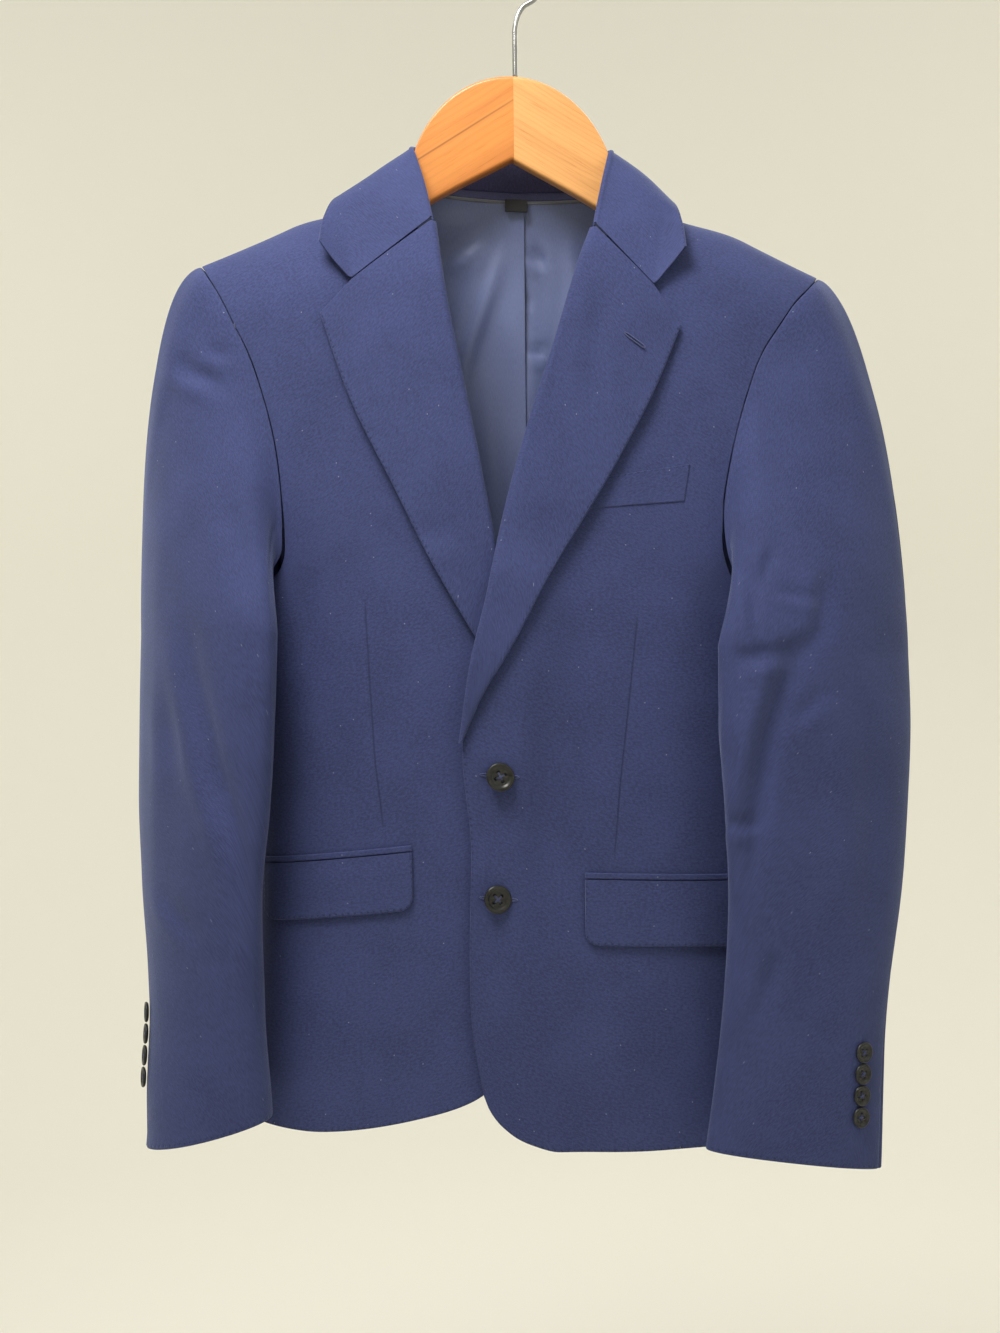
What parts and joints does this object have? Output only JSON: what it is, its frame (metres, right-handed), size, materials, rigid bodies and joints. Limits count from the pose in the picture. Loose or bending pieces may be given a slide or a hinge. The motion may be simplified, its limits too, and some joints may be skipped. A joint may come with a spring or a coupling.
{
  "type": "single breasted blazer on a wooden hanger",
  "caption": "Tailored cloth jacket with notched lapels, welt and flap pockets and buttoned cuffs, hanging on a flat wooden hanger by its steel hook",
  "frame": {"origin": "Inside top of the hanger's hook, where its wire rests on the rail; Z up, X to the wearer's left, -Y the jacket's front", "axes": "Right-handed, metres. +Z is the jacket's length, up; X its width; +Y points from the front to the back, its shortest way"},
  "size_m": [0.5717, 0.1586, 0.897],
  "materials": {
    "navy_wool": "matt fine wool with a slubby weave",
    "lining_satin": "smooth satin",
    "piping": "satin",
    "label_tape": "woven tape",
    "horn_buttons": "polished",
    "beech": "satin varnish",
    "hook_steel": "polished"
  },
  "bodies": {
    "root": {"back_left": "navy_wool", "back_right": "navy_wool", "breast_welt": "navy_wool", "button_lower": "horn_buttons", "button_upper": "horn_buttons", "collar_leaf": "navy_wool", "collar_stand": "navy_wool", "cuff_button_left_1": "horn_buttons", "cuff_button_left_2": "horn_buttons", "cuff_button_left_3": "horn_buttons", "cuff_button_left_4": "horn_buttons", "cuff_button_right_1": "horn_buttons", "cuff_button_right_2": "horn_buttons", "cuff_button_right_3": "horn_buttons", "cuff_button_right_4": "horn_buttons", "flap_left": "navy_wool", "flap_right": "navy_wool", "front_left": "navy_wool", "front_right": "navy_wool", "hanger_arm_left": "beech", "hanger_arm_right": "beech", "hanger_hook": "hook_steel", "jet_left": "navy_wool", "jet_right": "navy_wool", "label_tab": "label_tape", "lapel_left": "navy_wool", "lapel_right": "navy_wool", "lining_back_left": "lining_satin", "lining_back_right": "lining_satin", "neck_facing": "navy_wool", "neck_piping": "piping", "sleeve_top_left": "navy_wool", "sleeve_top_right": "navy_wool", "sleeve_under_left": "navy_wool", "sleeve_under_right": "navy_wool"}
  },
  "joints": []
}
